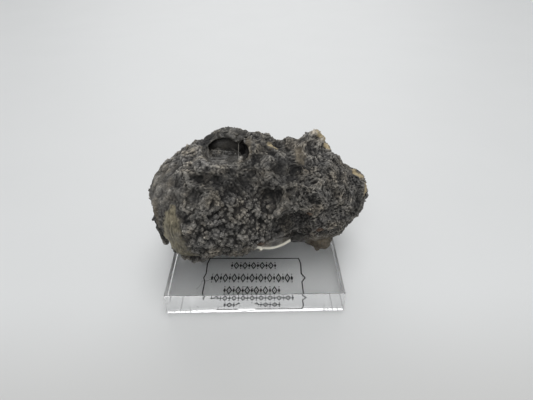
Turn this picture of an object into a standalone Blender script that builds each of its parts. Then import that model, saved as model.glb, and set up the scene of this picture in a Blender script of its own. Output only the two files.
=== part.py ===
"""A fulgurite, the fused crust that lightning makes in the ground, on its clear display base.

Metres, +Z up. The origin is the middle of the base's underside; -Y is the label's side, the front.
Run with: blender --background --python part.py
"""

import math

import bmesh
import bpy
from mathutils import Euler, Matrix, Vector, noise

MM = 0.001

# The base: a square block of clear sheet, 1 3/4 in by 1/4 in.
BASE_SIDE = 44.45 * MM
BASE_THICKNESS = 6.35 * MM
BASE_EDGE_BREAK = 0.3 * MM
GAP = 0.3 * MM

# The label: a clear film in a shallow seat of the base's underside, with a point at mid-height of each side.
LABEL_MIDDLE = -0.5 * MM
LABEL_HALF_WIDTH = 13.4 * MM
LABEL_FRONT = -21.1 * MM
LABEL_BACK = -5.3 * MM
LABEL_POINT = 1.2 * MM
LABEL_POINT_HALF = 2.4 * MM
LABEL_CORNER = (0.6 * MM, 2.2 * MM)
LABEL_THICKNESS = 0.2 * MM

# The stone.
STONE_REST = BASE_THICKNESS + GAP + 0.05 * MM
STONE_VOXEL = 0.5 * MM
STONE_TRIANGLES = 9200
LUMP_BLEND_STEPS = 10
BRIM_BLEND_STEPS = 3
# The crust's relief: heights in metres, and the sizes of their features in millimetres.
SWELL_RELIEF, SWELL_SIZE = 1.0 * MM, 6.5
FOLD_RELIEF, FOLD_SIZE = 0.9 * MM, 4.0
NODULE_RELIEF, NODULE_SIZE = 1.0 * MM, 2.3
FOLD_PHASE = Vector((9, 4, 2))
NODULE_ROUNDNESS = 1.6
SUNK = 0.1 * MM
# A smooth patch is bare inside this share of its radii, and crusted again from the second.
PATCH_BARE, PATCH_CRUSTED = 0.8, 1.2

CRUST_COLOUR, CRUST_ROUGHNESS = (0.085, 0.078, 0.07), 0.85
ACRYLIC_COLOUR, ACRYLIC_ROUGHNESS, ACRYLIC_ALPHA = (0.95, 0.96, 0.96), 0.05, 0.3
FILM_COLOUR, FILM_ROUGHNESS, FILM_ALPHA = (0.75, 0.75, 0.72), 0.3, 0.6

# The lumps that the stone is made of: name, centre (mm), radii (mm), turn about X, Y and Z (degrees).
LUMPS = (
    ("left dome", (-11.8, -2.6, 21.0), (14.4, 16.2, 13.9), (0, 0, 0)),
    ("left crown", (-10.9, 1.5, 24.0), (12.7, 13.5, 11.0), (0, 0, 0)),
    ("front belly", (-5.0, -5.4, 18.7), (12.0, 11.6, 11.0), (0, 0, 0)),
    ("middle", (3.0, 2.5, 20.8), (14.0, 14.8, 13.6), (0, 0, 0)),
    ("right lobe", (12.8, 2.5, 21.6), (12.6, 13.4, 11.9), (0, 0, 0)),
    ("right tail", (21.1, 2.0, 20.1), (9.7, 10.5, 9.2), (0, 20, 0)),
    ("right shelf", (17.6, -1.2, 14.8), (9.6, 8.0, 6.0), (0, -13, 0)),
    ("hood", (-6.3, 8.4, 30.8), (6.7, 5.2, 5.5), (0, 0, 0)),
    ("hood ridge", (-0.4, 4.0, 31.8), (3.4, 6.2, 4.6), (-20, 0, 0)),
    ("hood shoulder", (2.6, 5.6, 30.9), (5.0, 5.0, 4.2), (0, 0, 0)),
    ("saddle hump", (9.9, 5.0, 30.8), (5.0, 5.6, 3.3), (0, 0, 0)),
    ("horn foot", (15.4, 4.0, 28.6), (5.6, 5.0, 4.9), (0, 0, 0)),
    ("horn", (15.4, 4.2, 32.1), (3.4, 3.2, 4.9), (0, 6, 0)),
    ("horn chip", (18.0, 4.4, 31.2), (2.4, 1.9, 4.1), (0, -28, 0)),
    ("knob", (17.5, -4.2, 9.4), (3.2, 3.2, 3.1), (0, 0, 0)),
    ("glass wall", (3.6, -1.2, 10.6), (8.2, 8.0, 3.8), (0, 0, 0)),
    ("glass bit", (12.0, -2.6, 10.9), (4.4, 4.6, 3.6), (0, 0, 0)),
    ("band foot", (-16.1, -11.4, 16.8), (6.4, 5.6, 6.0), (0, 0, 0)),
    ("flank flake", (-23.8, -3.4, 14.4), (2.6, 6.4, 6.4), (0, 0, 0)),
    ("foot flake", (-15.3, -8.2, 7.9), (5.2, 4.4, 1.2), (0, 0, 0)),
    ("upper chip", (28.5, 3.0, 23.4), (1.8, 2.4, 1.7), (0, 0, 0)),
    ("side chip", (30.0, 1.5, 20.0), (1.4, 2.6, 2.2), (0, 0, 0)),
)

# What is taken out of it, in the same terms.
HOLLOWS = (
    ("upper hollow", (-7.6, -0.8, 35.0), (5.4, 6.2, 3.7), (-10, 0, 0)),
    ("hollow cave", (-7.6, 6.2, 31.2), (5.2, 3.4, 3.0), (0, 0, 0)),
    ("side pocket", (-2.6, 1.6, 33.0), (1.6, 4.6, 2.6), (0, 0, 0)),
    ("collar valley", (-6.5, -11.4, 33.6), (11.0, 3.0, 2.4), (0, 0, 0)),
    ("saddle notch", (6.7, 7.0, 35.8), (2.6, 9.0, 2.9), (0, 0, 0)),
    ("waist", (3.8, -11.8, 28.8), (3.6, 3.8, 6.0), (0, 0, 0)),
    ("upper basin", (8.8, -6.4, 33.0), (6.0, 4.4, 2.8), (0, 0, 0)),
    ("lower basin", (9.8, -12.2, 19.0), (6.0, 3.6, 4.6), (0, 0, 0)),
    ("glass recess", (4.8, -10.6, 11.2), (6.8, 4.6, 3.1), (0, -10, 0)),
    ("tail pit", (27.2, -3.6, 25.0), (1.1, 1.6, 1.6), (0, 0, 0)),
)

# Bare glassy patches, where the relief fades out.
SMOOTH_PATCHES = (
    ("olive band, upper", (-19.6, -15.0, 24.0), (3.2, 4.0, 5.0), (0, 0, 0)),
    ("olive band, lower", (-17.2, -14.6, 15.2), (4.4, 4.6, 5.6), (0, 0, 0)),
    ("glass wall front", (3.8, -7.4, 8.8), (6.4, 3.6, 2.6), (0, 0, 0)),
    ("hollow inside", (-7.0, 2.0, 31.4), (5.4, 7.4, 4.8), (0, 0, 0)),
)


def clear_scene():
    """Removes the objects that the file starts with."""
    for obj in list(bpy.data.objects):
        bpy.data.objects.remove(obj)


def make_material(name, colour, roughness, alpha=1.0):
    material = bpy.data.materials.new(name)
    material.use_nodes = True
    shader = material.node_tree.nodes["Principled BSDF"]
    shader.inputs["Base Color"].default_value = (*colour, 1)
    shader.inputs["Roughness"].default_value = roughness
    shader.inputs["Alpha"].default_value = alpha
    return material


def add_object(name, mesh, material=None):
    obj = bpy.data.objects.new(name, mesh)
    if material:
        mesh.materials.append(material)
    bpy.context.collection.objects.link(obj)
    return obj


def add_cutter(name, mesh):
    cutter = add_object(name, mesh)
    cutter.hide_render = True
    cutter.display_type = "WIRE"
    return cutter


def lumps_mesh(name, lumps):
    """Ellipsoids, still apart, in one mesh."""
    bm = bmesh.new()
    for _, centre, radii, turn in lumps:
        place = Matrix.Translation(Vector(centre) * MM)
        place @= Euler([math.radians(angle) for angle in turn]).to_matrix().to_4x4()
        place @= Matrix.Diagonal([radius * MM for radius in radii] + [1])
        bmesh.ops.create_icosphere(bm, subdivisions=4, radius=1, matrix=place)
    mesh = bpy.data.meshes.new(name)
    bm.to_mesh(mesh)
    bm.free()
    return mesh


def fuse(obj, name, voxel):
    remesh = obj.modifiers.new(name, "REMESH")
    remesh.mode = "VOXEL"
    remesh.voxel_size = voxel


def cut_with(obj, name, cutter):
    cut = obj.modifiers.new(name, "BOOLEAN")
    cut.operation = "DIFFERENCE"
    cut.solver = "EXACT"
    cut.object = cutter


def blend(obj, name, steps):
    smooth = obj.modifiers.new(name, "SMOOTH")
    smooth.factor = 0.5
    smooth.iterations = steps


def settled_mesh(obj):
    """The object's mesh with its modifiers worked into it."""
    graph = bpy.context.evaluated_depsgraph_get()
    return bpy.data.meshes.new_from_object(obj.evaluated_get(graph))


def soft_step(low, high, value):
    share = min(max((value - low) / (high - low), 0), 1)
    return share * share * (3 - 2 * share)


def crust_share(spot):
    """From 0 in the bare glassy patches to 1 on the crust; spot is in millimetres."""
    share = 1.0
    for _, centre, radii, _ in SMOOTH_PATCHES:
        away = Vector([(s - c) / r for s, c, r in zip(spot, centre, radii)]).length
        share = min(share, soft_step(PATCH_BARE, PATCH_CRUSTED, away))
    return share


def relief(point):
    """How far the stone stands out at a point of its fused lumps, in metres."""
    spot = point / MM
    swell = SWELL_RELIEF * noise.noise(spot / SWELL_SIZE)
    fold = FOLD_RELIEF * (0.5 - 2 * abs(noise.noise(spot / FOLD_SIZE + FOLD_PHASE)))
    nearest_centre = noise.voronoi(spot / NODULE_SIZE)[0][0]
    nodule = NODULE_RELIEF * (0.5 - NODULE_ROUNDNESS * nearest_centre**2)
    return swell + (fold + nodule) * crust_share(spot) - SUNK


def make_stone_mass(cutter):
    """The fused lumps with the hollows taken out, before the crust's relief."""
    mass = add_object("stone_mass", lumps_mesh("stone_mass", LUMPS))
    fuse(mass, "Fuse lumps", STONE_VOXEL)
    blend(mass, "Blend lumps", LUMP_BLEND_STEPS)
    cut_with(mass, "Cut hollows", cutter)
    fuse(mass, "Fuse cut", STONE_VOXEL)
    blend(mass, "Soften brims", BRIM_BLEND_STEPS)
    mesh = settled_mesh(mass)
    bpy.data.objects.remove(mass)
    return mesh


def make_stone():
    cutter = add_cutter("hollow_cutter", lumps_mesh("hollow_cutter", HOLLOWS))
    fuse(cutter, "Fuse cutter", STONE_VOXEL)
    mesh = make_stone_mass(cutter)
    normals = [vertex.normal.copy() for vertex in mesh.vertices]
    for vertex, normal in zip(mesh.vertices, normals):
        vertex.co += normal * relief(vertex.co)
        vertex.co.z = max(vertex.co.z, STONE_REST)
    stone = add_object("fulgurite", mesh, make_material("crust", CRUST_COLOUR, CRUST_ROUGHNESS))
    fuse(stone, "Fuse relief", STONE_VOXEL)
    fused_triangles = 2 * len(settled_mesh(stone).polygons)
    thin = stone.modifiers.new("Keep to budget", "DECIMATE")
    thin.ratio = STONE_TRIANGLES / fused_triangles
    return stone


def label_outline(margin):
    """The film's outline, widened by a margin: the right half from front to back, then the left."""
    side = LABEL_HALF_WIDTH + margin
    front, back = LABEL_FRONT - margin, LABEL_BACK + margin
    middle = (front + back) / 2
    corner_x, corner_y = LABEL_CORNER
    right = [
        (side - corner_x, front),
        (side, front + corner_y),
        (side, middle - LABEL_POINT_HALF),
        (side + LABEL_POINT, middle),
        (side, middle + LABEL_POINT_HALF),
        (side, back - corner_y),
        (side - corner_x, back),
    ]
    outline = right + [(-x, y) for x, y in reversed(right)]
    return [(LABEL_MIDDLE + x, y) for x, y in outline]


def plate_mesh(name, outline, low, high):
    """An upright prism over the outline, from height low to height high."""
    bm = bmesh.new()
    bottom = bm.faces.new([bm.verts.new((x, y, low)) for x, y in outline])
    top = bmesh.ops.extrude_face_region(bm, geom=[bottom])["geom"]
    for item in top:
        if isinstance(item, bmesh.types.BMVert):
            item.co.z = high
    bmesh.ops.recalc_face_normals(bm, faces=bm.faces)
    mesh = bpy.data.meshes.new(name)
    bm.to_mesh(mesh)
    bm.free()
    return mesh


def make_base():
    half = BASE_SIDE / 2
    square = [(-half, -half), (half, -half), (half, half), (-half, half)]
    acrylic = make_material("clear_acrylic", ACRYLIC_COLOUR, ACRYLIC_ROUGHNESS, ACRYLIC_ALPHA)
    base = add_object("display_base", plate_mesh("display_base", square, 0, BASE_THICKNESS), acrylic)
    edges = base.modifiers.new("Break edges", "BEVEL")
    edges.width = BASE_EDGE_BREAK
    edges.segments = 1
    seat_depth = LABEL_THICKNESS + GAP
    seat = add_cutter("label_seat", plate_mesh("label_seat", label_outline(GAP), -seat_depth, seat_depth))
    cut_with(base, "Cut label seat", seat)
    return base


def make_label():
    film = make_material("printed_film", FILM_COLOUR, FILM_ROUGHNESS, FILM_ALPHA)
    return add_object("label", plate_mesh("label", label_outline(0), 0, LABEL_THICKNESS), film)


def main():
    clear_scene()
    make_base()
    make_label()
    make_stone()


main()
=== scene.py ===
"""The looks of a fulgurite on its clear display block: crust, block, print, stage and camera.

Spots, sizes and radii are in millimetres in the frame's axes; meshes are made in metres through MM.
"""

import math

import bmesh
import bpy
import numpy as np
from mathutils import Matrix, Vector, noise
from mathutils.bvhtree import BVHTree


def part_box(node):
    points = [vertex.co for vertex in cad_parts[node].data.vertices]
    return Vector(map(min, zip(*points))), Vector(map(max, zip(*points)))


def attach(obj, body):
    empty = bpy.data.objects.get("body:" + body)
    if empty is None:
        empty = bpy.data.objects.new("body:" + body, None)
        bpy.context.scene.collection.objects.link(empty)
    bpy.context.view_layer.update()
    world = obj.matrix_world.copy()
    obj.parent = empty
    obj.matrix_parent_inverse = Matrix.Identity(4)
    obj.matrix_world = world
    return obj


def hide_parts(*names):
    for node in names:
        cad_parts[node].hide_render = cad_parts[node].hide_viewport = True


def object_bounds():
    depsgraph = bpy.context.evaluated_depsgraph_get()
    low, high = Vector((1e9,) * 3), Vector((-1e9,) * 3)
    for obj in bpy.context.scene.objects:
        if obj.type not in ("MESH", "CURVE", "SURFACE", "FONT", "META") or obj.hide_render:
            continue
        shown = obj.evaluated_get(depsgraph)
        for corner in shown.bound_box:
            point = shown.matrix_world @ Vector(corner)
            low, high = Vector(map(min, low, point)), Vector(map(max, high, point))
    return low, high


MM = 0.001
SEED = 41
noise.seed_set(SEED)  # noise_vector is otherwise different in each run
CENTRE_LEVELS = 3.7  # spreads the centres of cells, so that each gets its own level

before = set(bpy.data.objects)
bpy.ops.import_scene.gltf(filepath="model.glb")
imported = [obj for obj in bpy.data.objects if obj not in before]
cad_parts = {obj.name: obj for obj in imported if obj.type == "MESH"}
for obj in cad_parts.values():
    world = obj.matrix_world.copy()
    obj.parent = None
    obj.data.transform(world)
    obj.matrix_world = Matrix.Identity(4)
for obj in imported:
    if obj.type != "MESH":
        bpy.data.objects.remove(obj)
CAD_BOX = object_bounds()
LOW, HIGH = (np.array(corner) / MM for corner in CAD_BOX)
BLOCK_LOW, BLOCK_HIGH = (np.array(corner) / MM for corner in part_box("display_base"))

# The crust's mesh.
CRUST_VOXEL = 0.255
FACET_SMOOTHING = 9
EVENING, EVENING_BACK = 25, 40  # how often the body is evened, and the shift itself, to keep its size
EVENED_SHARE = 0.8
BLOCK_TOUCH = 0.02  # how far the stone's foot stands off the block
FOOT_HEIGHT = 1.6  # the part of the stone that is let down onto the block

# The crust's relief: sizes of its features.
BIG_NODULES, SMALL_NODULES = 1.4, 0.75
RIDGES, FINE_RIDGES, FIBROUS_PITS = 1.05, 0.55, 1.1
SKIN_PITS, SKIN_WRINKLES, SKIN_KNOBS, SKIN_GRAIN = 1.2, 1.3, 0.8, 0.55
# Creases over all of it: depth, size, and the size and reach of their winding, with a shift.
CREASES = ((0.25, 5.5, (3.0, 0.8), 2.0), (0.18, 2.8, (2.0, 0.5), 7.0))
CREASE_WIDTH = 0.1
GLASS_RIPPLES, OLIVE_STREAKS, LIP_HEIGHT, SLIT_DEPTH = 0.28, 0.08, 0.3, 0.5
RELIEF_SHIFT = -0.12
# How much painted shade and light the crust takes from its fine and its broad relief, and how wide each
# is.
FINE_LIGHT, BROAD_LIGHT = (0.19, 5), (0.13, 70)

# The smaller pieces. Nodules: fineness, how many at most, how far apart, smallest and largest radius.
NODULES = ((3, 300, 1.2, 0.38, 0.64), (2, 700, 0.6, 0.18, 0.34))
LUMP_UNEVENNESS = 0.7
GRIT_COUNT, GRIT_APART, GRIT_RADII = 3500, 0.3, (0.08, 0.2)
THREAD_COUNT, THREAD_APART, THREAD_RADII = 1500, 0.4, (0.045, 0.11)
THREAD_STEPS, THREAD_STEP, THREAD_BEND, BEND_SIZE = (6, 13), 0.22, 2.6, 1.2

# The block and its print: the plaque lies about its middle, turned by some degrees.
EDGE_BREAK = 0.12
AIR_POCKETS = (((-2.2, -18.9), (2.9, 2.6)), ((-12.0, -18.0), (2.9, 4.4)))
POCKET_DEPTH, POCKET_CORNERS, POCKET_WAVES = 0.1, 28, 0.3
ACRYLIC_IOR = 1.49
# An edge face of the block is nearly upright, and higher than the pockets' walls.
EDGE_LEAN, EDGE_HEIGHT = 0.3, 0.2
INK_HEIGHTS, INK_LINE = (0.02, 0.06), 0.3
PLAQUE_MIDDLE, PLAQUE_TURN = (-0.5, -13.2), -1.2
PLAQUE_HALF, PLAQUE_CORNER = (12.9, 7.3), (0.5, 2.0)
PLAQUE_POINTS, PLAQUE_POINT_HALF = (0.35, 0.85), 1.5
# Rows of ornament on the plaque, about its middle: start, end, height up the plaque and size.
ORNAMENT_ROWS = ((-6.6, 6.4, 4.5, 2.7), (-11.6, 10.8, -0.1, 3.2), (-7.9, 7.3, -4.4, 2.8))
ORNAMENT_STEP = 1.15
# Half-widths of the ornament's lozenges, and half-heights as shares of the row's size.
OPEN_LOZENGE, SOLID_LOZENGE = (0.62, 0.42), (0.34, 0.3)
MIDDLE_DOT, END_DOT, END_DOT_AT = 0.16, 0.2, 0.43

# Zones of the crust: soft ellipsoids as (centre, radii).
NODULAR = (
    ((-3.5, -16.0, 20.0), (12.5, 9.0, 11.0)),
    ((4.0, 14.0, 20.0), (13.0, 9.0, 10.0)),
)
FIBROUS = (
    ((19.0, -4.0, 22.0), (14.0, 16.0, 14.0)),
    ((-14.0, 14.0, 19.0), (9.0, 7.0, 9.0)),
)
GLASSY = (
    ((-7.4, 1.6, 31.0), (5.2, 6.8, 4.6)),
    ((-7.8, 5.9, 35.0), (5.2, 1.9, 0.8)),
    ((3.8, -6.8, 9.4), (5.6, 3.0, 2.8)),
    ((12.0, -5.6, 9.8), (3.4, 3.0, 2.4)),
    ((5.6, -11.6, 13.4), (5.2, 2.2, 2.6)),
)
# Darker crust: the hood's own dark colour and other dark patches, and painted shade in the hollow and
# under its lip.
DARK_AND_SHADED = (
    ((-6.0, -10.2, 31.4), (10.5, 3.8, 3.0)),
    ((26.8, -6.6, 22.2), (2.0, 3.0, 3.4)),
    ((12.0, -5.6, 10.0), (3.6, 3.6, 3.0)),
    ((-24.0, -7.0, 17.0), (2.6, 6.5, 5.4)),
    ((-7.8, 6.0, 34.9), (5.6, 2.0, 0.9)),
    ((-5.0, 1.0, 31.2), (1.5, 4.0, 1.4)),
    ((-12.0, 5.2, 33.4), (1.6, 2.8, 1.6)),
    ((-1.9, 3.0, 33.0), (1.2, 3.5, 2.2)),
)
# Painted shade, half as strong, on shaded hollows of the crust's form.
PAINTED_SHADE_ZONES = (
    ((5.0, -8.6, 27.4), (3.8, 3.0, 2.4)),
    ((8.2, -5.0, 31.0), (6.0, 3.6, 2.2)),
    ((9.0, -10.0, 19.5), (6.0, 3.5, 4.6)),
)
# Lighter crust: painted light on the lit crown, the left side and the hollow's floor, with dust.
DUST_AND_PAINTED_LIGHT = (
    ((-20.0, -8.5, 28.0), (4.5, 6.0, 5.0)),
    ((-14.0, -3.0, 33.0), (9.5, 9.0, 4.4)),
    ((-9.6, 0.6, 31.2), (3.2, 5.0, 1.4)),
    ((-3.3, -0.4, 31.5), (0.9, 1.3, 0.9)),
)
PALE = (
    ((15.6, 3.0, 33.4), (4.6, 5.0, 5.4)),
    ((5.2, -11.8, 13.4), (6.0, 3.6, 2.2)),
    ((-3.3, -0.4, 31.5), (1.2, 1.4, 1.2)),
)
# Places where the crust stands further out or in than the solid: centre, radii and how far.
SWELLINGS = (
    ((-24.0, -2.0, 28.2), (4.6, 10.0, 4.2), 1.2),
    ((-13.0, 6.4, 34.6), (2.0, 3.4, 1.8), -0.9),
    ((27.0, 4.6, 27.4), (3.2, 6.5, 3.2), -1.3),
)
CALM = (
    ((17.6, -5.0, 10.0), (4.4, 4.6, 4.2)),
    ((-7.5, 6.4, 35.2), (5.6, 2.8, 1.9)),
    ((-21.0, -9.0, 28.0), (5.0, 7.0, 6.0)),
)
EVEN = (
    ((-16.0, 0.0, 27.0), (15.0, 19.0, 12.0)),
    ((17.0, 0.0, 23.0), (14.0, 14.0, 11.0)),
)
CREAM = (
    ((27.2, 3.2, 24.9), (2.2, 2.7, 1.5)),
    ((29.9, -1.8, 22.2), (1.5, 2.6, 2.6)),
    ((5.4, 3.4, 33.6), (1.8, 1.5, 0.9)),
)
TAN = (
    ((11.7, -1.4, 33.0), (1.3, 3.8, 1.5)),
    ((17.6, -6.0, 9.8), (3.6, 3.8, 3.8)),
    ((-23.2, -12.2, 22.6), (1.2, 2.0, 3.0)),
    ((-1.2, -0.2, 35.0), (0.9, 4.6, 2.0)),
)
RUST = (
    ((16.9, -9.2, 15.4), (1.0, 1.2, 0.8)),
    ((2.2, -14.6, 15.6), (1.6, 0.9, 0.9)),
    ((13.8, -10.2, 21.4), (0.7, 0.9, 0.6)),
)
# Lines along the crust: points along the middle, each with its half-width.
OLIVE_BAND = (
    ((-18.6, -14.2, 27.4), 0.7),
    ((-18.9, -15.0, 25.4), 1.5),
    ((-18.8, -15.7, 23.9), 2.1),
    ((-18.9, -16.1, 22.0), 2.4),
    ((-18.9, -16.1, 20.0), 2.6),
    ((-18.8, -15.6, 17.7), 2.8),
    ((-17.6, -15.7, 15.6), 2.6),
    ((-15.9, -15.4, 13.8), 2.1),
    ((-14.3, -14.5, 12.2), 1.5),
    ((-12.4, -13.0, 11.2), 0.8),
)
HORN_EDGE = (
    ((16.2, 3.8, 36.8), 0.7),
    ((17.4, 4.0, 35.8), 1.2),
    ((18.6, 4.2, 34.2), 1.3),
    ((19.3, 4.2, 32.6), 0.9),
)
OLIVE_EDGE = (
    ((-19.9, -14.4, 26.2), 0.3),
    ((-20.6, -14.9, 24.0), 0.6),
    ((-21.0, -15.0, 21.5), 0.7),
    ((-21.2, -14.6, 18.8), 0.7),
    ((-20.3, -14.4, 16.0), 0.6),
    ((-18.0, -14.6, 13.6), 0.5),
    ((-15.6, -14.2, 12.0), 0.5),
    ((-13.4, -13.4, 11.0), 0.4),
)
HOLLOW_LIP = (
    ((-12.0, -6.6, 34.7), 0.2),
    ((-10.6, -7.7, 34.4), 0.35),
    ((-8.4, -7.6, 33.9), 0.35),
    ((-6.5, -7.2, 33.3), 0.3),
    ((-5.0, -5.9, 32.8), 0.2),
)
HOLLOW_EDGE = (
    ((-1.2, 0.4, 35.8), 0.15),
    ((-1.0, -0.8, 35.1), 0.3),
    ((-0.8, -2.1, 33.8), 0.3),
    ((-0.8, -3.0, 32.9), 0.15),
)
TAN_RIDGE = (
    ((11.0, 1.6, 34.0), 0.3),
    ((11.3, -1.2, 33.3), 0.6),
    ((12.1, -2.4, 32.5), 0.6),
    ((12.7, -4.8, 31.0), 0.3),
)
HOOD_SLIT = (
    ((-8.3, 7.0, 35.8), 0.2),
    ((-6.8, 6.5, 35.8), 0.35),
    ((-5.3, 6.6, 35.9), 0.2),
)
# The glass wall under the front: a thin sheet from its bright rim up to the crust.
GLASS_RIM = (
    (0.2, -14.7, 14.9),
    (1.9, -13.9, 13.8),
    (3.7, -12.7, 12.6),
    (5.5, -11.4, 11.8),
    (7.4, -10.2, 11.6),
    (9.4, -8.8, 11.8),
)
GLASS_TOP = (
    (0.2, -15.3, 16.9),
    (1.9, -14.9, 16.8),
    (3.7, -13.4, 15.9),
    (5.4, -12.0, 15.2),
    (7.3, -10.5, 14.3),
    (9.3, -9.0, 13.2),
)
SHEET_HOLLOW, SHEET_THICK, SHEET_ROWS, SHEET_WAVES = 0.7, 0.3, 14, 0.15
RIM_RADIUS, RIM_WAVES = 0.15, 0.04
RIM_BRIGHT = 0.45  # how far the crust is bright around the rim
CURVE_POINTS, CURVE_EVENING = 60, 8
# The knob beside the glass wall: a pebble.
KNOB_MIDDLE, KNOB_RADIUS = (17.9, -5.4, 9.6), 2.8
KNOB_PEBBLES = 0.27  # as a share of its radius
# In the hollow: drips of glass and its back as (centre, radius), and the thin web across it.
GLASS_DRIPS = (((-3.3, -0.3, 31.4), 0.8), ((-3.9, 7.2, 33.4), 0.6))
HOLLOW_BACK = ((-7.2, 9.5, 31.4), (6.4, 2.7, 3.6))
WEB = ((-3.9, 6.6, 33.6), (-3.85, 4.6, 32.7), (-3.8, 2.4, 32.0), (-3.7, 0.3, 31.5))
WEB_RADII = (0.3, 0.13, 0.13, 0.36)
HOLLOW_LIGHT = 0.42
# The hollow's floor: middle, radii, and heights of its hidden underside and its rippled top.
FLOOR_MIDDLE, FLOOR_RADII = np.array((-8.0, 1.4)), np.array((5.0, 5.8))
FLOOR_UNDERSIDE, FLOOR_TOP, FLOOR_RIPPLES = 28.8, 31.15, 0.4
FLOOR_RINGS, FLOOR_SPOKES = 40, 96

# The card under the block: its size in metres, how far it lies below the block, and where along y
# its painted shade darkens it towards the front.
CARD_SIZE, CARD_DROP = 6.0, 0.15
CARD_PAINTED_SHADE = (-60, -12)
WORLD_COLOUR, WORLD_STRENGTH = (0.97, 0.985, 1.0, 1), 0.3
# Lamps: name, place in metres, size and power.
LIGHTS = (
    ("front", (-0.1, -1.5, 1.7), 1.6, 20.5),
    ("top", (0.2, 0.0, 2.3), 1.4, 18.0),
    ("behind", (0.0, 2.2, 1.3), 2.6, 16.5),
)
# The camera, fitted to the block's corners in the photograph; its turns are in degrees.
CAMERA_PLACE = (2.11, -89.97, 81.8)
CAMERA_DOWN, CAMERA_RIGHT, CAMERA_ROLL = 34.97, 0.74, -0.37
CAMERA_FOCAL_PIXELS, PICTURE_WIDTH = 405.9, 533
SENSOR_WIDTH, CAMERA_RANGE = 36.0, (0.005, 20.0)
BOUNCES, GLOSSY_BOUNCES = 24, 16


# ---------------------------------------------------------------- numbers


def soft_step(low, high, values):
    share = np.clip((values - low) / (high - low), 0, 1)
    return share * share * (3 - 2 * share)


def noise_at(spots, size, shift=0.0):
    """Smooth noise, about -1 to 1, with features of that size."""
    return np.array([noise.noise(spot) for spot in (spots / size + shift).tolist()])


def warped(spots, size, reach):
    """The spots, moved about by smooth noise."""
    moves = np.array([noise.noise_vector(spot) for spot in (spots / size).tolist()])
    return spots + reach * moves


def cells_at(spots, size, shift=0.0):
    """The distance to the nearest of scattered centres, in cell sizes, and that centre's level."""
    found = []
    for spot in (spots / size + shift).tolist():
        distances, centres = noise.voronoi(spot)
        found.append((distances[0], noise.noise(centres[0] * CENTRE_LEVELS)))
    return np.array(found).T


def domes(distances, steepness=1.5):
    """Round tops over the centres that the distances are measured from."""
    return 0.5 - steepness * distances**2


def pits_at(spots, size, shift, edge, bottom):
    """1 at the bottoms of scattered pits and 0 outside their edges."""
    return soft_step(edge, bottom, cells_at(spots, size, shift)[0])


def ridges_at(spots, size, steepness, shift=0.0):
    """0.5 along winding lines, falling away to both sides."""
    return 0.5 - np.abs(noise_at(spots, size, shift)) * steepness


def creases_at(spots, size, width, shift=0.0):
    """1 along winding lines and 0 away from them."""
    return np.exp(-((noise_at(spots, size, shift) / width) ** 2))


def zone_share(spots, zones, fade=0.3):
    """1 inside any of the ellipsoids, 0 well outside them."""
    share = np.zeros(len(spots))
    for centre, radii in zones:
        away = np.linalg.norm((spots - centre) / np.array(radii), axis=1)
        share = np.maximum(share, 1 - soft_step(1 - fade, 1 + fade, away))
    return share


def band_share(spots, band, fade=0.25):
    """1 on the band's middle line, falling to 0 at its edges."""
    nearest = np.full(len(spots), np.inf)
    for (start, start_half), (end, end_half) in zip(band, band[1:]):
        start, way = np.array(start), np.subtract(end, start)
        along = np.clip((spots - start) @ way / (way @ way), 0, 1)
        half = start_half + along * (end_half - start_half)
        away = np.linalg.norm(spots - start - along[:, None] * way, axis=1)
        nearest = np.minimum(nearest, away / half)
    return 1 - soft_step(1 - fade, 1 + fade, nearest)


# ---------------------------------------------------------------- meshes


def mesh_arrays(mesh):
    """A mesh's spots and normals."""
    spots = np.empty(len(mesh.vertices) * 3, np.float32)
    mesh.vertices.foreach_get("co", spots)
    normals = np.empty(len(mesh.vertices) * 3, np.float32)
    mesh.vertex_normals.foreach_get("vector", normals)
    return spots.reshape(-1, 3).astype(float) / MM, normals.reshape(-1, 3).astype(float)


def place_spots(mesh, spots):
    mesh.vertices.foreach_set("co", (spots * MM).astype(np.float32).ravel())
    mesh.update()


def mesh_from(name, spots, faces):
    mesh = bpy.data.meshes.new(name)
    mesh.from_pydata((spots * MM).tolist(), [], faces)
    mesh.update()
    return mesh


def add_object(name, mesh, material):
    obj = bpy.data.objects.new(name, mesh)
    mesh.materials.clear()
    mesh.materials.append(material)
    bpy.context.scene.collection.objects.link(obj)
    return obj


def settled_mesh(obj):
    graph = bpy.context.evaluated_depsgraph_get()
    return bpy.data.meshes.new_from_object(obj.evaluated_get(graph))


def edges_of(mesh):
    ends = np.empty(len(mesh.edges) * 2, np.int32)
    mesh.edges.foreach_get("vertices", ends)
    return ends.reshape(-1, 2).T


def evened(spots, edges, times):
    """The spots, each moved that often to the middle of its neighbours."""
    first, second = edges
    count = len(spots)
    neighbours = np.bincount(first, minlength=count) + np.bincount(second, minlength=count)
    for _ in range(times):
        sums = [
            np.bincount(first, spots[second, axis], count) + np.bincount(second, spots[first, axis], count)
            for axis in range(3)
        ]
        spots = np.stack(sums, axis=1) / neighbours[:, None]
    return spots


def proudness(spots, normals, edges, times):
    """How far each spot stands out of its surroundings, in standard deviations."""
    away = ((spots - evened(spots, edges, times)) * normals).sum(axis=1)
    return away / away.std()


def give_share(mesh, name, values):
    """Stores one number for each vertex, which the crust's material reads."""
    mesh.attributes.new(name, "FLOAT", "POINT").data.foreach_set("value", values.astype(np.float32))


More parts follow.
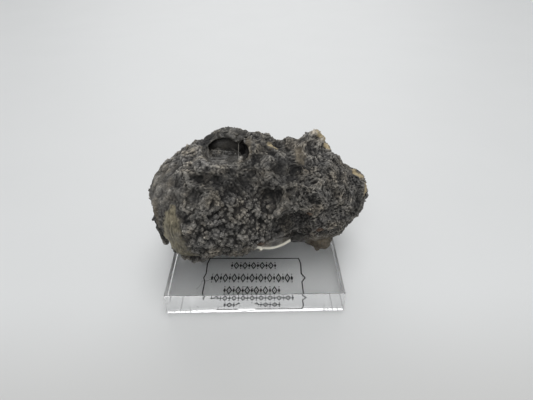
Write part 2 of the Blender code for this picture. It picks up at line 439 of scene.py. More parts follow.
class Pile:
    """Many small closed shapes that become one mesh."""

    def __init__(self):
        self.spots, self.faces, self.relief_shading, self.tones, self.count = [], [], [], [], 0

    def add(self, spots, faces, relief_shading=0.5, tone=0.5):
        self.spots.append(spots)
        self.faces += [[corner + self.count for corner in face] for face in faces]
        self.relief_shading.append(np.broadcast_to(relief_shading, len(spots)))
        self.tones.append(np.full(len(spots), tone))
        self.count += len(spots)

    def mesh(self, name, clip=True):
        spots = np.concatenate(self.spots)
        if clip:
            spots = np.clip(spots, LOW, HIGH)
        return mesh_from(name, spots, self.faces), spots

    def crust_piece(self, name, material, smooth):
        """The pile as a piece of the crust."""
        mesh, spots = self.mesh(name)
        spots[:, 2] = np.maximum(spots[:, 2], BLOCK_HIGH[2] + BLOCK_TOUCH)
        place_spots(mesh, spots)
        if smooth:
            mesh.shade_smooth()
        give_shares(mesh, spots, np.concatenate(self.relief_shading), np.concatenate(self.tones))
        return add_object(name, mesh, material)


def ball(subdivisions):
    """Spots and faces of a unit icosphere."""
    bm = bmesh.new()
    bmesh.ops.create_icosphere(bm, subdivisions=subdivisions, radius=1)
    spots = np.array([vertex.co for vertex in bm.verts])
    faces = [[vertex.index for vertex in face.verts] for face in bm.faces]
    bm.free()
    return spots, faces


def tube(points, radii, sides):
    """Spots and faces of a closed round tube through the points, with a radius at each."""
    points = np.array(points)
    ways = np.gradient(points, axis=0)
    ways /= np.linalg.norm(ways, axis=1)[:, None]
    across = np.cross(ways[0], (0.3, 0.5, 0.8))
    spots = []
    for point, way, radius in zip(points, ways, radii):
        across = across - way * (across @ way)
        across /= np.linalg.norm(across)
        beside = np.cross(way, across)
        for step in range(sides):
            angle = 2 * math.pi * step / sides
            spots.append(point + radius * (math.cos(angle) * across + math.sin(angle) * beside))
    faces = [list(range(sides))[::-1]]
    for ring in range(len(points) - 1):
        for step in range(sides):
            a, b = ring * sides + step, ring * sides + (step + 1) % sides
            faces.append([a, b, b + sides, a + sides])
    faces.append([(len(points) - 1) * sides + step for step in range(sides)])
    return np.array(spots), faces


# ---------------------------------------------------------------- materials


def add_node(tree, kind, inputs, **settings):
    """A new node. An input that is a socket is linked, and any other is set."""
    made = tree.nodes.new("ShaderNode" + kind)
    for name, value in settings.items():
        setattr(made, name, value)
    for name, value in inputs.items():
        if isinstance(value, bpy.types.NodeSocket):
            tree.links.new(value, made.inputs[name])
        else:
            made.inputs[name].default_value = value
    return made


def mix(tree, share, first, second, blend="MIX"):
    made = add_node(tree, "Mix", {}, data_type="RGBA", blend_type=blend)
    for socket, value in ((made.inputs[0], share), (made.inputs[6], first), (made.inputs[7], second)):
        if isinstance(value, bpy.types.NodeSocket):
            tree.links.new(value, socket)
        else:
            socket.default_value = value
    return made.outputs[2]


def tinted(tree, colour, tint):
    return mix(tree, 1.0, colour, tint, "MULTIPLY")


def ramp(tree, share, *stops):
    """A colour ramp; a stop is (place, grey) or (place, (red, green, blue))."""
    made = add_node(tree, "ValToRGB", {"Fac": share})
    elements = made.color_ramp.elements
    while len(elements) < len(stops):
        elements.new(0.5)
    for element, (place, colour) in zip(elements, stops):
        element.position = place
        grey = isinstance(colour, (int, float))
        element.color = (colour, colour, colour, 1) if grey else (*colour, 1)
    return made.outputs["Color"]


def share_of(tree, name):
    return add_node(tree, "Attribute", {}, attribute_name=name).outputs["Fac"]


def maths(tree, operation, first, second=0.0):
    return add_node(tree, "Math", {0: first, 1: second}, operation=operation).outputs[0]


def new_material(name):
    """A material, its tree, its shader and its object coordinates."""
    material = bpy.data.materials.new(name)
    material.use_nodes = True
    tree = material.node_tree
    place = add_node(tree, "TexCoord", {}).outputs["Object"]
    return material, tree, tree.nodes["Principled BSDF"], place


def noise_node(tree, place, size, detail=2.0, roughness=0.5):
    inputs = {"Vector": place, "Scale": 1 / (size * MM), "Detail": detail, "Roughness": roughness}
    return add_node(tree, "TexNoise", inputs).outputs["Fac"]


def crust_material():
    """Fused sand: grey-brown, with painted shade in its folds and painted light on its proud tops, bare
    glass, cream chips and rusty spots.
    """
    material, tree, shader, place = new_material("fused_crust")
    relief_shading, tone = share_of(tree, "relief_shading"), share_of(tree, "tone")
    glass, olive = share_of(tree, "glassy"), share_of(tree, "olive")

    # Painted shade and light: near black in the deepest folds, light on the proud tops.
    deep, low = (0.008, 0.008, 0.008), (0.036, 0.034, 0.032)
    high, proud = (0.096, 0.092, 0.085), (0.25, 0.237, 0.215)
    colour = ramp(tree, relief_shading, (0.0, deep), (0.35, low), (0.65, high), (1.0, proud))
    patches = noise_node(tree, place, 4.0, 3.0, 0.6)
    cool, plain, warm = (0.8, 0.81, 0.84), (1.0, 0.99, 0.97), (1.22, 1.15, 1.04)
    colour = tinted(tree, colour, ramp(tree, patches, (0.36, cool), (0.52, plain), (0.66, warm)))
    colour = tinted(tree, colour, ramp(tree, tone, (0.0, 0.35), (0.5, 1.0), (1.0, 2.3)))
    grains = add_node(tree, "TexVoronoi", {"Vector": place, "Scale": 1 / (0.32 * MM)})
    grain_tone = add_node(tree, "SeparateColor", {"Color": grains.outputs["Color"]}).outputs[0]
    colour = tinted(tree, colour, ramp(tree, grain_tone, (0.0, 0.7), (0.7, 1.0), (1.0, 1.4)))
    # Darkening for dark crust and painted shade, and lightening for dust and painted light on lit tops and
    # edges.
    for share, lightness in (("dark_and_shaded", 0.38), ("dust_and_painted_light", 1.5)):
        colour = tinted(tree, colour, ramp(tree, share_of(tree, share), (0.0, 1.0), (1.0, lightness)))

    stretched = add_node(tree, "Mapping", {"Vector": place, "Scale": (2.2, 2.2, 0.35)}).outputs[0]
    streaks = noise_node(tree, stretched, 0.9, 3.0, 0.6)
    dark, middle, pale = (0.055, 0.047, 0.031), (0.15, 0.132, 0.088), (0.27, 0.24, 0.17)
    bare = ramp(tree, streaks, (0.3, dark), (0.5, middle), (0.7, pale))
    mottle = ramp(tree, noise_node(tree, place, 1.6, 4.0, 0.65), (0.36, 0.5), (0.6, 1.15))
    colour = mix(tree, olive, colour, tinted(tree, bare, mottle))
    colour = mix(tree, share_of(tree, "pale_edge"), colour, (0.3, 0.27, 0.19, 1))
    ripples = noise_node(tree, place, 0.9, 3.0)
    dark_glass = ramp(tree, ripples, (0.35, (0.01, 0.0098, 0.009)), (0.7, (0.04, 0.038, 0.034)))
    colour = mix(tree, glass, colour, mix(tree, 1.0, dark_glass, colour, "SCREEN"))
    tan = ramp(tree, noise_node(tree, place, 0.8), (0.3, (0.06, 0.048, 0.034)), (0.7, (0.24, 0.2, 0.14)))
    colour = mix(tree, share_of(tree, "tan"), colour, tan)
    cream = ramp(tree, noise_node(tree, place, 0.7), (0.3, (0.29, 0.23, 0.14)), (0.7, (0.56, 0.47, 0.3)))
    colour = mix(tree, share_of(tree, "cream"), colour, cream)
    colour = mix(tree, share_of(tree, "rust"), colour, (0.15, 0.075, 0.035, 1))
    colour = mix(tree, share_of(tree, "bright"), colour, (0.85, 0.82, 0.72, 1))
    tree.links.new(colour, shader.inputs["Base Color"])

    shine = maths(tree, "MAXIMUM", glass, maths(tree, "MULTIPLY", olive, 0.7))
    rough = add_node(tree, "MapRange", {"Value": shine, "To Min": 0.82, "To Max": 0.28}).outputs[0]
    tree.links.new(rough, shader.inputs["Roughness"])
    shader.inputs["Specular IOR Level"].default_value = 0.35

    sand = noise_node(tree, place, 0.22, 3.0, 0.7)
    fine = add_node(tree, "Bump", {"Height": sand, "Strength": 0.55, "Distance": 0.12 * MM})
    seen = {"Height": grains.outputs["Distance"], "Strength": 0.5, "Distance": 0.1 * MM}
    lumps = add_node(tree, "Bump", {**seen, "Normal": fine.outputs[0]}, invert=True)
    tree.links.new(lumps.outputs[0], shader.inputs["Normal"])
    return material


def acrylic_material(name, roughness, streaks):
    """Clear acrylic; streaks is the depth of the fine upright saw marks on a cut edge."""
    material, tree, shader, place = new_material(name)
    shader.inputs["Base Color"].default_value = (1.0, 1.0, 1.0, 1)
    shader.inputs["Transmission Weight"].default_value = 1.0
    shader.inputs["IOR"].default_value = ACRYLIC_IOR
    shader.inputs["Roughness"].default_value = roughness
    flat = add_node(tree, "Mapping", {"Vector": place, "Scale": (1, 1, 0.03)}).outputs[0]
    marks = noise_node(tree, flat, 0.5, 3.0, 0.6)
    bump = add_node(tree, "Bump", {"Height": marks, "Strength": 1.0, "Distance": streaks * MM})
    tree.links.new(bump.outputs[0], shader.inputs["Normal"])
    return material


def ink_material():
    """Matt black print with a little wear."""
    material, tree, shader, place = new_material("black_print")
    wear = noise_node(tree, place, 0.25, 3.0, 0.6)
    black, worn = (0.004, 0.004, 0.005), (0.03, 0.03, 0.032)
    tree.links.new(ramp(tree, wear, (0.3, black), (0.8, worn)), shader.inputs["Base Color"])
    shader.inputs["Roughness"].default_value = 0.6
    return material


def floor_material():
    """Pale matt card with painted shade, a little darker towards the front as in the photograph."""
    material, tree, shader, place = new_material("pale_card")
    mottle = ramp(tree, noise_node(tree, place, 40.0, 4.0, 0.5), (0.3, 0.985), (0.7, 1.0))
    # Painted shade: the card's colour darkens towards the front.
    depth = add_node(tree, "SeparateXYZ", {"Vector": place}).outputs["Y"]
    start, end = CARD_PAINTED_SHADE
    away = {"Value": depth, "From Min": start * MM, "From Max": end * MM}
    share = add_node(tree, "MapRange", away, interpolation_type="SMOOTHSTEP").outputs[0]
    colour = ramp(tree, share, (0.0, (0.57, 0.57, 0.56)), (1.0, (0.73, 0.74, 0.74)))
    tree.links.new(tinted(tree, colour, mottle), shader.inputs["Base Color"])
    shader.inputs["Roughness"].default_value = 0.45
    shader.inputs["Specular IOR Level"].default_value = 0.5
    return material


# ---------------------------------------------------------------- the crust


def nodular_relief(spots):
    """Rounded nodules crowded together, each at its own level, with small ones between them."""
    loose = warped(spots, 2.2, 0.5)
    big, big_level = cells_at(loose, BIG_NODULES)
    small, small_level = cells_at(loose, SMALL_NODULES, 5.0)
    tops = 0.52 * domes(big) + 0.2 * domes(small, 1.6)
    return tops + 0.45 * big_level + 0.2 * small_level + 0.1 * noise_at(spots, 0.6)


def fibrous_relief(spots):
    """Wrinkles and winding ridges, finer than the nodules."""
    swirled = warped(warped(spots, 5.0, 2.0), 1.3, 0.5)
    ridges = ridges_at(swirled, RIDGES, 2.6, 9.0)
    fine_ridges = ridges_at(swirled, FINE_RIDGES, 2.6, 3.0)
    pits = pits_at(swirled, FIBROUS_PITS, 17.0, 0.42, 0.15)
    return 0.2 * ridges + 0.16 * fine_ridges - 0.35 * pits + 0.2 * noise_at(spots, 2.4, 6.0)


def plain_relief(spots):
    """A dense, finely pitted skin with shallow wrinkles."""
    loose = warped(spots, 2.0, 0.5)
    pits = pits_at(loose, SKIN_PITS, 13.0, 0.36, 0.14)
    wrinkles = creases_at(loose, SKIN_WRINKLES, 0.12, 21.0)
    knobs, level = cells_at(loose, SKIN_KNOBS, 31.0)
    grain = noise_at(loose, SKIN_GRAIN, 41.0)
    return 0.1 * domes(knobs) + 0.1 * level - 0.3 * pits - 0.12 * wrinkles + 0.12 * grain


def crust_relief(spots):
    """How far the crust stands out at each spot, in millimetres."""
    nodular = zone_share(spots, NODULAR, 0.35)
    fibrous = zone_share(spots, FIBROUS, 0.35) * (1 - nodular)
    plain = 1 - nodular - fibrous
    height = nodular * nodular_relief(spots) + fibrous * fibrous_relief(spots)
    height += plain * plain_relief(spots)
    for depth, size, winding, shift in CREASES:
        height -= depth * creases_at(warped(spots, *winding), size, CREASE_WIDTH, shift)
    height *= 1 - 0.65 * zone_share(spots, CALM, 0.5)

    ripples = GLASS_RIPPLES * ridges_at(warped(spots * (0.7, 0.9, 1), 2.0, 0.8), 1.5, 2.4)
    glassy = zone_share(spots, GLASSY)
    height = height * (1 - glassy) + glassy * ripples
    streaks = OLIVE_STREAKS * noise_at(spots * (2.2, 2.2, 0.4), 1.0)
    olive = band_share(spots, OLIVE_BAND)
    height = height * (1 - olive) + olive * (streaks + 0.1)
    for line in (HOLLOW_LIP, HOLLOW_EDGE):
        height += LIP_HEIGHT * band_share(spots, line, 0.6)
    height -= SLIT_DEPTH * band_share(spots, HOOD_SLIT, 0.6)
    for centre, radii, far in SWELLINGS:
        height += far * zone_share(spots, ((centre, radii),), 0.6)
    return height + RELIEF_SHIFT


def give_shares(mesh, spots, relief_shading, tone):
    """Everything that the crust's material reads."""
    ragged = warped(spots, 0.9, 0.5)
    # The hollow's lip and edge, painted lighter as lit edges.
    lit_lip_edges = np.maximum(band_share(spots, HOLLOW_LIP, 0.6), band_share(spots, HOLLOW_EDGE, 0.6))
    give_share(mesh, "relief_shading", relief_shading)
    give_share(mesh, "tone", tone + 0.3 * zone_share(ragged, PALE, 0.4))
    give_share(mesh, "olive", band_share(warped(spots, 1.4, 0.9), OLIVE_BAND, 0.3))
    rim = tuple((point, RIM_BRIGHT) for point in GLASS_RIM)
    give_share(mesh, "bright", band_share(spots, rim, 0.3))
    give_share(mesh, "pale_edge", 0.7 * band_share(ragged, OLIVE_EDGE, 0.7))
    give_share(mesh, "glassy", zone_share(ragged, GLASSY, 0.2))
    loose = warped(spots, 2.5, 1.2)
    # Darkening: dark crust and painted shade in the hollow, under its lip and on shaded hollows.
    darkening = np.maximum(zone_share(loose, DARK_AND_SHADED, 0.45), 0.55 * zone_share(loose, PAINTED_SHADE_ZONES, 0.6))
    give_share(mesh, "dark_and_shaded", darkening)
    give_share(mesh, "dust_and_painted_light", np.maximum(zone_share(ragged, DUST_AND_PAINTED_LIGHT, 0.4), lit_lip_edges))
    cream = np.maximum(zone_share(ragged, CREAM, 0.25), band_share(ragged, HORN_EDGE, 0.3))
    give_share(mesh, "cream", cream)
    tan = np.maximum(zone_share(ragged, TAN, 0.4), band_share(ragged, TAN_RIDGE, 0.4))
    give_share(mesh, "tan", 0.6 * tan)
    give_share(mesh, "rust", 0.45 * zone_share(ragged, RUST, 0.5))


def let_down(spots):
    """Closes the clearance under the stone, so that its foot stands on the block."""
    clearance = spots[:, 2].min() - BLOCK_HIGH[2] - BLOCK_TOUCH
    share = 1 - soft_step(0, FOOT_HEIGHT, spots[:, 2] - spots[:, 2].min())
    spots[:, 2] -= clearance * share
    return spots


class Crust:
    """The stone's body, and what the smaller pieces need to lie on it."""

    def __init__(self, material):
        self.body = add_object("crust_body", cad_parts["fulgurite"].data.copy(), material)
        mesh = self.finely_meshed()
        edges = edges_of(mesh)
        self.even_out(mesh, edges)
        spots, normals = mesh_arrays(mesh)
        spots = np.clip(spots + normals * crust_relief(spots)[:, None], LOW, HIGH)
        spots = let_down(spots)
        spots[:, 2] = np.maximum(spots[:, 2], BLOCK_HIGH[2] + BLOCK_TOUCH)
        place_spots(mesh, spots)
        mesh.shade_smooth()

        (fine_light, fine_reach), (broad_light, broad_reach) = FINE_LIGHT, BROAD_LIGHT
        broad = proudness(spots, normals, edges, broad_reach) * (1 - zone_share(spots, GLASSY))
        relief = fine_light * proudness(spots, normals, edges, fine_reach) + broad_light * broad
        # Painted shade in the crust's hollows and painted light on its proud places, from its fine and its
        # broad relief.
        self.relief_shading = np.clip(0.5 + relief, 0, 1)
        self.spots, self.normals = spots, mesh_arrays(mesh)[1]
        faces = [list(face.vertices) for face in mesh.polygons]
        self.tree = BVHTree.FromPolygons([Vector(spot) for spot in spots], faces)
        self.bare = np.maximum(band_share(spots, OLIVE_BAND, 0.15), zone_share(spots, GLASSY, 0.2))
        give_shares(mesh, spots, self.relief_shading, np.full(len(spots), 0.5))

    def finely_meshed(self):
        """Gives the body an even mesh without the solid's facets."""
        remesh = self.body.modifiers.new("Even mesh", "REMESH")
        remesh.mode, remesh.voxel_size = "VOXEL", CRUST_VOXEL * MM
        smooth = self.body.modifiers.new("No facets", "SMOOTH")
        smooth.factor, smooth.iterations = 0.5, FACET_SMOOTHING
        mesh = settled_mesh(self.body)
        self.body.modifiers.clear()
        self.body.data = mesh
        return mesh

    def even_out(self, mesh, edges):
        """Softens the solid's lumps outside the nodular zones, without shrinking it."""
        spots = mesh_arrays(mesh)[0]
        even = EVENED_SHARE * zone_share(spots, EVEN) * (1 - zone_share(spots, NODULAR, 0.35))
        shift = evened(spots, edges, EVENING) - spots
        shift -= evened(shift, edges, EVENING_BACK)
        place_spots(mesh, spots + even[:, None] * shift)

    def scatter(self, rng, weights, wanted, apart):
        """Indices of up to so many spots, chosen by weight and kept apart."""
        tries = rng.choice(len(self.spots), size=4 * wanted, p=weights / weights.sum())
        taken, filled = [], {}
        for index in tries:
            spot = self.spots[index]
            cell = tuple((spot // apart).astype(int))
            around = [
                other
                for dx in (-1, 0, 1)
                for dy in (-1, 0, 1)
                for dz in (-1, 0, 1)
                for other in filled.get((cell[0] + dx, cell[1] + dy, cell[2] + dz), ())
            ]
            if any(np.linalg.norm(self.spots[other] - spot) < apart for other in around):
                continue
            filled.setdefault(cell, []).append(index)
            taken.append(index)
            if len(taken) == wanted:
                break
        return taken


def turn_of(rng):
    """A random rotation."""
    matrix, _ = np.linalg.qr(rng.normal(size=(3, 3)))
    return matrix


def lump(rng, template, radius, uneven=LUMP_UNEVENNESS):
    """A stone-like lump about the origin: a stretched ball with dents."""
    spots, _ = template
    shift = rng.uniform(0, 100, 3)
    dents = 1 + uneven * np.array([noise.noise(spot) for spot in (1.6 * spots + shift).tolist()])
    stretch = rng.uniform(0.7, 1.3, 3)
    return (spots * dents[:, None] * stretch * radius) @ turn_of(rng).T


def make_beads(material, crust):
    """Rounded nodules on the proud places, more than half sunk in the crust."""
    rng = np.random.default_rng(SEED)
    pile = Pile()
    nodular = zone_share(crust.spots, NODULAR, 0.35)
    weights = (nodular**1.5 + 0.04) * (1 - crust.bare) * crust.relief_shading**2
    for fineness, wanted, apart, small, large in NODULES:
        template = ball(fineness)
        for index in crust.scatter(rng, weights, wanted, apart):
            normal, radius = crust.normals[index], rng.uniform(small, large)
            shape = lump(rng, template, radius)
            # Painted light on each nodule's outward side and painted shade on its side towards the crust.
            relief_shading = 0.55 + 0.25 * (shape @ normal) / radius
            shape += crust.spots[index] - normal * radius * rng.uniform(0.05, 0.5)
            pile.add(shape, template[1], relief_shading, np.clip(rng.normal(0.5, 0.12), 0.2, 0.9))
    return pile.crust_piece("crust_beads", material, smooth=True)


def make_grit(material, crust):
    """Angular sand grains stuck to the crust."""
    rng = np.random.default_rng(SEED + 1)
    pile = Pile()
    template = ball(1)
    weights = (0.3 + zone_share(crust.spots, NODULAR)) * (1 - crust.bare) + 0.01
    for index in crust.scatter(rng, weights, GRIT_COUNT, GRIT_APART):
        radius = rng.uniform(*GRIT_RADII)
        shape = lump(rng, template, radius) + crust.spots[index] + crust.normals[index] * radius * 0.1
        # Painted light: each grain is a little lighter than the crust under it, as a proud place.
        relief_shading = min(1, crust.relief_shading[index] + 0.1)
        pile.add(shape, template[1], relief_shading, np.clip(rng.normal(0.5, 0.18), 0.05, 1.0))
    return pile.crust_piece("crust_grit", material, smooth=False)


def wandering_line(rng, crust, index, steps):
    """A line that winds over the crust from one of its spots."""
    spot, normal = Vector(crust.spots[index]), Vector(crust.normals[index])
    heading = Vector(rng.normal(size=3))
    shift = Vector((rng.uniform(0, 50), 0, 0))
    points = []
    for _ in range(steps):
        points.append(np.array(spot))
        bend = THREAD_BEND * noise.noise(spot / BEND_SIZE + shift)
        heading = (heading - normal * heading.dot(normal)).normalized()
        heading = Matrix.Rotation(bend, 3, normal) @ heading
        spot, normal, _, _ = crust.tree.find_nearest(spot + THREAD_STEP * heading)
    return points


def make_threads(material, crust):
    """Thin glassy threads that wind over the crust."""
    rng = np.random.default_rng(SEED + 2)
    pile = Pile()
    weights = (zone_share(crust.spots, FIBROUS, 0.4) + 0.1) * (1 - crust.bare) * crust.relief_shading
    for index in crust.scatter(rng, weights, THREAD_COUNT, THREAD_APART):
        steps = int(rng.integers(*THREAD_STEPS, endpoint=True))
        thickness = rng.uniform(*THREAD_RADII)
        line = wandering_line(rng, crust, index, steps)
        ends = np.sin(np.linspace(0.12, math.pi - 0.12, steps)) ** 0.5
        # Painted light: each thread is a little lighter than the crust under it, as a proud place.
        relief_shading = min(0.85, crust.relief_shading[index] + 0.12)
        pile.add(*tube(line, thickness * ends, 4), relief_shading, np.clip(rng.normal(0.5, 0.14), 0.2, 1.0))
    return pile.crust_piece("crust_threads", material, smooth=True)


def hollow_floor():
    """The rippled floor as a closed round slab: its spots, faces and each spot's painted relief shading,
    lighter on the ripples' crests.
    """
    rings, spokes = FLOOR_RINGS, FLOOR_SPOKES
    shares = np.repeat(np.arange(1, rings + 1) / rings, spokes)
    angles = np.tile(2 * math.pi * np.arange(spokes) / spokes, rings)
    ways = np.stack([np.cos(angles), np.sin(angles)], axis=1)
    flat = np.vstack([FLOOR_MIDDLE, FLOOR_MIDDLE + FLOOR_RADII * shares[:, None] * ways])
    loose = warped(np.column_stack([flat * (0.8, 1.0), np.zeros(len(flat))]), 1.6, 1.0)
    waves = ridges_at(loose, 1.4, 2.6) + 0.5 * ridges_at(loose, 0.7, 2.4, 4.0)
    top = np.column_stack([flat, FLOOR_TOP + FLOOR_RIPPLES * waves])
    low_rim = np.column_stack([flat[-spokes:], np.full(spokes, FLOOR_UNDERSIDE)])
    faces = [[0, 1 + step, 1 + (step + 1) % spokes] for step in range(spokes)]
    for ring in range(rings):
        for step in range(spokes):
            a, b = 1 + ring * spokes + step, 1 + ring * spokes + (step + 1) % spokes
            faces.append([a, a + spokes, b + spokes, b])
    faces.append([1 + rings * spokes + step for step in reversed(range(spokes))])
    # Painted light on the ripples' crests, with random variation.
    relief_shading = 0.3 + 0.75 * waves + 0.5 * noise_at(top, 2.2, 3.0)
    return np.vstack([top, low_rim]), faces, np.append(relief_shading, np.full(spokes, 0.5)).clip(0, 1)


def curve_through(points):
    """A smooth line through the points, divided evenly between each two."""
    points = np.array(points)
    knots, places = np.arange(len(points)), np.linspace(0, len(points) - 1, CURVE_POINTS)
    line = np.stack([np.interp(places, knots, points[:, axis]) for axis in range(3)], axis=1)
    for _ in range(CURVE_EVENING):
        line[1:-1] = (line[:-2] + 2 * line[1:-1] + line[2:]) / 4
    return line


def glass_sheet(low, high):
    """A thin closed sheet between two lines, hollowed towards the stone.

    Returns its spots, its faces and each spot's painted relief shading, a middle value that varies at
    random.
    """
    rows, count = SHEET_ROWS, len(low)
    shares = np.linspace(0, 1, rows)[:, None, None]
    front = low + shares * (high - low)
    front[:, :, 1] += SHEET_HOLLOW * np.sin(math.pi * shares[:, :, 0])
    front = front.reshape(-1, 3)
    front[:, 1] += SHEET_WAVES * noise_at(front * (1, 1, 0.5), 1.3)
    faces = []
    for side, turn in ((0, 1), (rows * count, -1)):
        for row in range(rows - 1):
            for step in range(count - 1):
                a = side + row * count + step
                faces.append([a, a + 1, a + count + 1, a + count][::turn])
    rim = list(range(count))
    rim += [row * count + count - 1 for row in range(1, rows)]
    rim += [(rows - 1) * count + step for step in reversed(range(count - 1))]
    rim += [row * count for row in reversed(range(1, rows - 1))]
    for here, there in zip(rim, rim[1:] + rim[:1]):
        faces.append([there, here, here + rows * count, there + rows * count])
    relief_shading = 0.55 + 0.2 * noise_at(front, 1.1, 8.0)
    return np.vstack([front, front + (0, SHEET_THICK, 0)]), faces, np.tile(relief_shading, 2)


def add_hollow(pile):
    """The hollow's rippled floor, its dented back and the thin web across it."""
    pile.add(*hollow_floor(), HOLLOW_LIGHT)
    middle, radii = HOLLOW_BACK
    spots, faces = ball(4)
    dents = 1 + 0.1 * noise_at(spots, 0.5)
    pile.add(spots * dents[:, None] * radii + middle, faces, HOLLOW_LIGHT)
    pile.add(*tube(WEB, WEB_RADII, 8), 0.7)


def add_glass_wall(pile):
    """The glass wall under the front, with its bright rim."""
    rim = curve_through(GLASS_RIM)
    pile.add(*glass_sheet(rim, curve_through(GLASS_TOP)))
    # The rim tube is painted fully lit, with the lightest relief shading.
    pile.add(*tube(rim, RIM_RADIUS + RIM_WAVES * noise_at(rim, 1.5), 8), 1.0, 1.0)


def add_knob(pile):
    """The knob beside the glass wall, a ball with a pebbled skin."""
    spots, faces = ball(6)
    pebbles, level = cells_at(warped(spots, 0.5, 0.1), KNOB_PEBBLES)
    tops = domes(pebbles)
    swell = 1 + 0.09 * tops + 0.09 * level + 0.16 * noise_at(spots, 0.8)
    shape = spots * swell[:, None] * KNOB_RADIUS + KNOB_MIDDLE
    # Painted light on the pebbles' tops and painted shade between them, with a random level for each.
    pile.add(shape, faces, 0.4 + 0.45 * tops + 0.4 * level)


def make_glass(material):
    """The parts of the crust that are glass or have their own form."""
    rng = np.random.default_rng(SEED + 3)
    pile = Pile()
    add_hollow(pile)
    add_glass_wall(pile)
    add_knob(pile)
    template = ball(3)
    for centre, radius in GLASS_DRIPS:
        pile.add(lump(rng, template, radius, 0.6) + centre, template[1], 0.75, 0.55)
    return pile.crust_piece("crust_glass", material, smooth=True)


# ---------------------------------------------------------------- block and print


def block_mesh():
    """The whole block with broken edges."""
    bm = bmesh.new()
    bmesh.ops.create_cube(bm, size=1)
    size, middle = BLOCK_HIGH - BLOCK_LOW, (BLOCK_HIGH + BLOCK_LOW) / 2
    for vertex in bm.verts:
        vertex.co = Vector((np.array(vertex.co) * size + middle) * MM)
    bmesh.ops.bevel(bm, geom=list(bm.edges), offset=EDGE_BREAK * MM, segments=1, affect="EDGES")
    mesh = bpy.data.meshes.new("clear_block")
    bm.to_mesh(mesh)
    bm.free()
    return mesh


def blob_outline(centre, radii, seed):
    """A wavy round outline."""
    outline = []
    for step in range(POCKET_CORNERS):
        angle = 2 * math.pi * step / POCKET_CORNERS
        way = Vector((math.cos(angle), math.sin(angle), 0))
        reach = 1 + POCKET_WAVES * noise.noise(2.0 * way + Vector((0, 0, seed)))
        outline.append((centre[0] + reach * radii[0] * way.x, centre[1] + reach * radii[1] * way.y))
    return outline


def make_block():
    """The clear block, with shallow pockets under it where the film has let go."""
    top = acrylic_material("clear_acrylic", 0.0, 0.0005)
    edge = acrylic_material("sawn_acrylic", 0.03, 0.008)
    block = add_object("clear_block", block_mesh(), top)
    block.data.materials.append(edge)
    pile = Pile()
    for seed, (centre, radii) in enumerate(AIR_POCKETS):
        plate(pile, blob_outline(centre, radii, seed), -POCKET_DEPTH, POCKET_DEPTH)
    pockets = add_object("air_pockets", pile.mesh("air_pockets", clip=False)[0], top)
    cut = block.modifiers.new("Air pockets", "BOOLEAN")
    cut.operation, cut.solver, cut.object = "DIFFERENCE", "EXACT", pockets
    mesh = settled_mesh(block)
    block.modifiers.clear()
    block.data = mesh
    bpy.data.objects.remove(pockets)
    for face in block.data.polygons:
        upright = abs(face.normal.z) < EDGE_LEAN
        face.material_index = 1 if upright and abs(face.center.z) > EDGE_HEIGHT * MM else 0
    return block


def plaque_outline():
    """The plaque's outline, anticlockwise from above: a point at each side and clipped corners."""
    half, deep = PLAQUE_HALF
    corner_x, corner_y = PLAQUE_CORNER
    right = [
        (half - corner_x, -deep),
        (half, corner_y - deep),
        (half - 0.1, -PLAQUE_POINT_HALF),
        (half + PLAQUE_POINTS[1], 0),
        (half - 0.1, PLAQUE_POINT_HALF),
        (half, deep - corner_y),
        (half - corner_x, deep),
    ]
    left = [(-x, y) for x, y in reversed(right)]
    left[3] = (-half - PLAQUE_POINTS[0], 0)
    return right + left


def on_plaque(points):
    """Points given from the plaque's middle, turned and moved to their place under the block."""
    angle = math.radians(PLAQUE_TURN)
    across = np.array((math.cos(angle), math.sin(angle)))
    along = np.array((-math.sin(angle), math.cos(angle)))
    return [tuple(np.array(PLAQUE_MIDDLE) + x * across + y * along) for x, y in points]


def stroke(pile, points):
    """A closed line of flat ink through the points."""
    points = [Vector(point) for point in points]
    count = len(points)
    inner, outer = [], []
    for index, point in enumerate(points):
        before = (point - points[index - 1]).normalized()
        after = (points[(index + 1) % count] - point).normalized()
        side = Vector((before.y + after.y, -before.x - after.x))
        side.normalize()
        stretch = 1 / max(0.4, side.dot(Vector((after.y, -after.x))))
        outer.append(point + side * INK_LINE / 2 * stretch)
        inner.append(point - side * INK_LINE / 2 * stretch)
    spots = [(*p, z) for z in INK_HEIGHTS for ring in (inner, outer) for p in ring]
    faces = []
    for index in range(count):
        j = (index + 1) % count
        bottom_in, bottom_out, top_in, top_out = 0, count, 2 * count, 3 * count
        faces.append([bottom_in + index, bottom_in + j, bottom_out + j, bottom_out + index])
        faces.append([top_in + index, top_out + index, top_out + j, top_in + j])
        faces.append([bottom_out + index, bottom_out + j, top_out + j, top_out + index])
        faces.append([bottom_in + index, top_in + index, top_in + j, bottom_in + j])
    pile.add(np.array(spots), faces)


def plate(pile, outline, low, high):
    """A flat piece over a convex or nearly round outline."""
    count = len(outline)
    spots = [(*p, z) for z in (low, high) for p in outline]
    faces = [list(range(count))[::-1], list(range(count, 2 * count))]
    for index in range(count):
        j = (index + 1) % count
        faces.append([index, j, count + j, count + index])
    pile.add(np.array(spots, float), faces)


def lozenge(x, y, wide, tall):
    return on_plaque([(x - wide, y), (x, y - tall), (x + wide, y), (x, y + tall)])


def open_mark(pile, x, y, tall):
    """An outlined lozenge with a dot in it."""
    wide, share = OPEN_LOZENGE
    stroke(pile, lozenge(x, y, wide, share * tall))
    plate(pile, lozenge(x, y, MIDDLE_DOT, MIDDLE_DOT), *INK_HEIGHTS)


def solid_mark(pile, x, y, tall):
    """A solid lozenge with a dot above it and one below."""
    wide, share = SOLID_LOZENGE
    plate(pile, lozenge(x, y, wide, share * tall), *INK_HEIGHTS)
    for side in (-1, 1):
        plate(pile, lozenge(x, y + side * END_DOT_AT * tall, END_DOT, END_DOT), *INK_HEIGHTS)


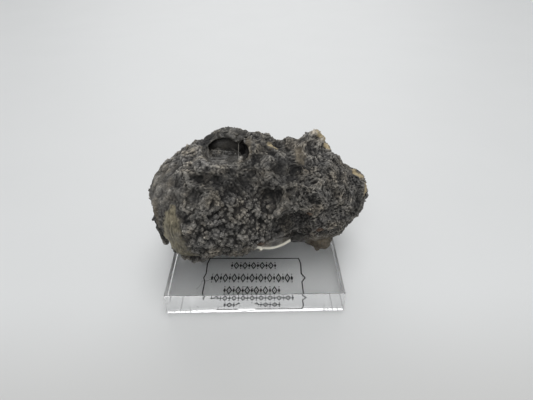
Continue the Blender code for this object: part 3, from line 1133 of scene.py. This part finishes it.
def make_print():
    """The plaque's border and three rows of plain ornament, in contact with the block's underside."""
    pile = Pile()
    stroke(pile, on_plaque(plaque_outline()))
    for start, end, y, tall in ORNAMENT_ROWS:
        count = int(round((end - start) / ORNAMENT_STEP))
        for mark in range(count):
            x = start + (end - start) * (mark + 0.5) / count
            draw = open_mark if mark % 2 else solid_mark
            draw(pile, x, y, tall)
    return add_object("label_ink", pile.mesh("label_ink")[0], ink_material())


# ---------------------------------------------------------------- stage, light and camera


def make_stage():
    bpy.ops.mesh.primitive_plane_add(size=CARD_SIZE, location=(0, 0, -CARD_DROP * MM))
    floor = bpy.context.object
    floor.name = "floor"
    floor.data.materials.append(floor_material())


def make_world():
    world = bpy.data.worlds.new("soft_room")
    world.use_nodes = True
    back = world.node_tree.nodes["Background"]
    back.inputs["Color"].default_value = WORLD_COLOUR
    back.inputs["Strength"].default_value = WORLD_STRENGTH
    bpy.context.scene.world = world


def make_light(name, place, size, power):
    """A soft round lamp that faces the block."""
    light = bpy.data.lights.new(name, "AREA")
    light.shape, light.size, light.energy = "DISK", size, power
    obj = bpy.data.objects.new(name, light)
    obj.location = Vector(place)
    obj.rotation_euler = (-obj.location).to_track_quat("-Z", "Y").to_euler()
    bpy.context.scene.collection.objects.link(obj)


def make_camera():
    data = bpy.data.cameras.new("camera")
    data.sensor_fit, data.sensor_width = "HORIZONTAL", SENSOR_WIDTH
    data.lens = CAMERA_FOCAL_PIXELS / PICTURE_WIDTH * data.sensor_width
    data.clip_start, data.clip_end = CAMERA_RANGE
    camera = bpy.data.objects.new("camera", data)
    down, right, roll = (math.radians(angle) for angle in (CAMERA_DOWN, CAMERA_RIGHT, CAMERA_ROLL))
    turn = Matrix.Rotation(-right, 4, "Z") @ Matrix.Rotation(math.pi / 2 - down, 4, "X")
    turn = turn @ Matrix.Rotation(roll, 4, "Z")
    camera.matrix_world = Matrix.Translation(Vector(CAMERA_PLACE) * MM) @ turn
    bpy.context.scene.collection.objects.link(camera)
    bpy.context.scene.camera = camera


def main():
    material = crust_material()
    crust = Crust(material)
    pieces = [crust.body]
    for make in (make_beads, make_grit, make_threads):
        pieces.append(make(material, crust))
    pieces.append(make_glass(material))
    for piece in pieces:
        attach(piece, "root")
        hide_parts("fulgurite")
    block, ink = make_block(), make_print()
    for piece, node, slot in (
        (block, "display_base", "clear_acrylic"),
        (ink, "label", "printed_film"),
    ):
        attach(piece, "root")
        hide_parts(node)
    make_stage()
    make_world()
    for name, place, size, power in LIGHTS:
        make_light(name, place, size, power)
    make_camera()
    scene = bpy.context.scene
    scene.view_settings.view_transform = "Standard"
    scene.cycles.max_bounces = BOUNCES
    scene.cycles.glossy_bounces = GLOSSY_BOUNCES
    scene.cycles.transmission_bounces = BOUNCES


main()
